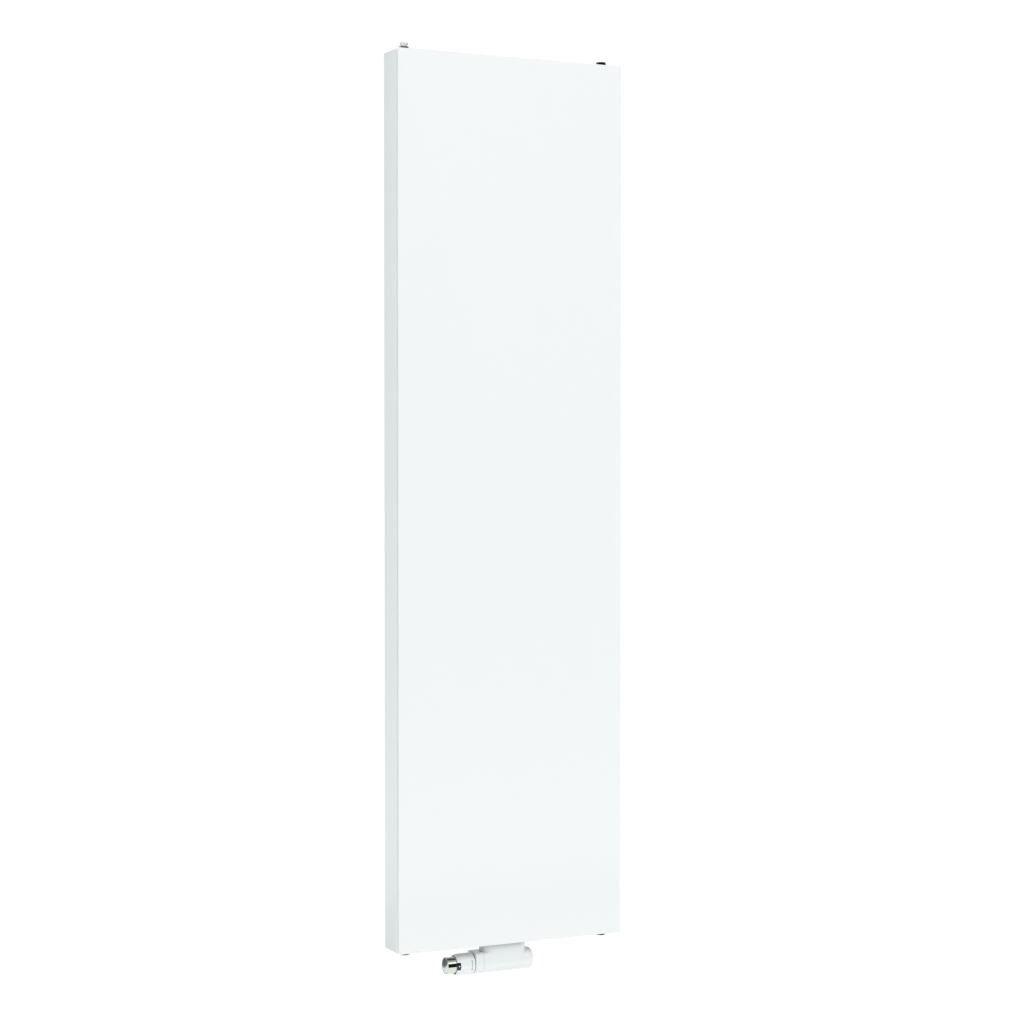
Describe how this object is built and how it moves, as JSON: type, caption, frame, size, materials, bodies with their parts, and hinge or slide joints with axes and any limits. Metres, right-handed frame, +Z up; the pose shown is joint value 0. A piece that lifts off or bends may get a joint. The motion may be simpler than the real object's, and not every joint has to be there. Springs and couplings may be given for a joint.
{
  "type": "radiator with valve",
  "caption": "Tall white flat-fronted steel panel radiator for hot water, with an air vent, blanking plugs and a horizontal thermostatic valve with a chrome knob under its middle.",
  "frame": {"origin": "on the wall plane, on the radiator's centre line, midway between the upper and lower wall brackets, which is also the radiator's mid height", "axes": "+Z up along the radiator's height, +Y into the wall with the flat front facing -Y, +X to the viewer's right so that the thermostat knob points to -X"},
  "size_m": [0.5, 0.105, 1.88],
  "materials": {
    "white_paint": "satin white powder coat on steel sheet",
    "white_plastic": "smooth semi-gloss white moulding",
    "chrome": "polished chrome, warm grey reflections",
    "nickel_plate": "satin nickel plating over brass",
    "dark_nickel": "dark nickel plating",
    "zinc_steel": "zinc-plated pressed steel",
    "spring_steel": "bright steel",
    "brass": "machined brass",
    "black_plastic": "gloss black insert",
    "grey_plastic": "matt dark grey moulding",
    "seal_rubber": "matt black rubber"
  },
  "bodies": {
    "radiator": {"front_plate": "white_paint", "left_side_panel": "white_paint", "right_side_panel": "white_paint", "front_water_panel": "white_paint", "rear_water_panel": "white_paint", "front_convector": "white_paint", "rear_convector": "white_paint", "top_left_tee": "white_paint", "top_right_tee": "white_paint", "bottom_left_tee": "white_paint", "bottom_right_tee": "white_paint", "supply_tee": "white_paint", "return_tee": "white_paint", "upper_left_lug": "white_paint", "upper_right_lug": "white_paint", "lower_left_lug": "white_paint", "lower_right_lug": "white_paint", "upper_left_bracket": "zinc_steel", "upper_right_bracket": "zinc_steel", "lower_left_bracket": "zinc_steel", "lower_right_bracket": "zinc_steel", "upper_left_bracket_screw": "zinc_steel", "upper_right_bracket_screw": "zinc_steel", "lower_left_bracket_screw": "zinc_steel", "lower_right_bracket_screw": "zinc_steel", "bottom_left_plug": "nickel_plate", "vent_body": "nickel_plate", "valve_body": "nickel_plate", "supply_tail": "nickel_plate", "return_tail": "nickel_plate", "supply_union_nut": "nickel_plate", "return_union_nut": "nickel_plate", "supply_pipe_connector": "nickel_plate", "return_pipe_connector": "nickel_plate", "top_right_plug": "dark_nickel", "bottom_right_plug": "dark_nickel", "top_right_plug_seal": "seal_rubber", "bottom_left_plug_seal": "seal_rubber", "bottom_right_plug_seal": "seal_rubber", "vent_seal": "seal_rubber", "supply_tail_gasket": "seal_rubber", "return_tail_gasket": "seal_rubber", "head_sleeve": "white_plastic", "neck_ring": "white_plastic", "valve_cover": "white_plastic", "valve_bonnet": "brass", "index_window": "black_plastic", "sleeve_liner": "black_plastic", "clamp_ring": "grey_plastic", "spindle_spring": "spring_steel", "overrun_spring": "spring_steel"},
    "knob": {"knob": "chrome", "knob_face": "chrome"},
    "sensor": {"sensor_capsule": "spring_steel", "sensor_carriage": "grey_plastic"},
    "spindle": {"valve_spindle": "spring_steel", "valve_disc": "seal_rubber"},
    "shutoff": {"shutoff_spindle": "brass"},
    "vent_collar": {"vent_nozzle": "white_plastic"},
    "bleed_screw": {"bleed_screw": "brass"}
  },
  "joints": [
    {"name": "knob_turn", "type": "hinge", "parent": "radiator", "child": "knob", "pos_m": [-0.117, -0.0675, -0.9406], "axis": [1, 0, 0], "range_deg": [-150, 150]},
    {"name": "sensor_slide", "type": "slide", "parent": "radiator", "child": "sensor", "axis": [1, 0, 0], "range_m": [-0.002, 0.002], "deforming": ["overrun_spring"]},
    {"name": "spindle_slide", "type": "slide", "parent": "radiator", "child": "spindle", "axis": [1, 0, 0], "range_m": [-0.002, 0.002], "deforming": ["spindle_spring"]},
    {"name": "shutoff_turn", "type": "hinge", "parent": "radiator", "child": "shutoff", "pos_m": [0.03, -0.0675, -0.9406], "axis": [1, 0, 0], "range_deg": [0, 720]},
    {"name": "vent_collar_swivel", "type": "hinge", "parent": "radiator", "child": "vent_collar", "pos_m": [-0.222, -0.0675, 0.9134], "axis": [0, 0, 1], "continuous": true},
    {"name": "bleed_screw_turn", "type": "hinge", "parent": "radiator", "child": "bleed_screw", "pos_m": [-0.222, -0.0675, 0.911], "axis": [0, 0, 1], "range_deg": [0, 360]}
  ],
  "couplings": [
    {"joint": "sensor_slide", "follows": "knob_turn", "m_per_rad": 0.00076},
    {"joint": "spindle_slide", "follows": "knob_turn", "m_per_rad": 0.00076}
  ]
}
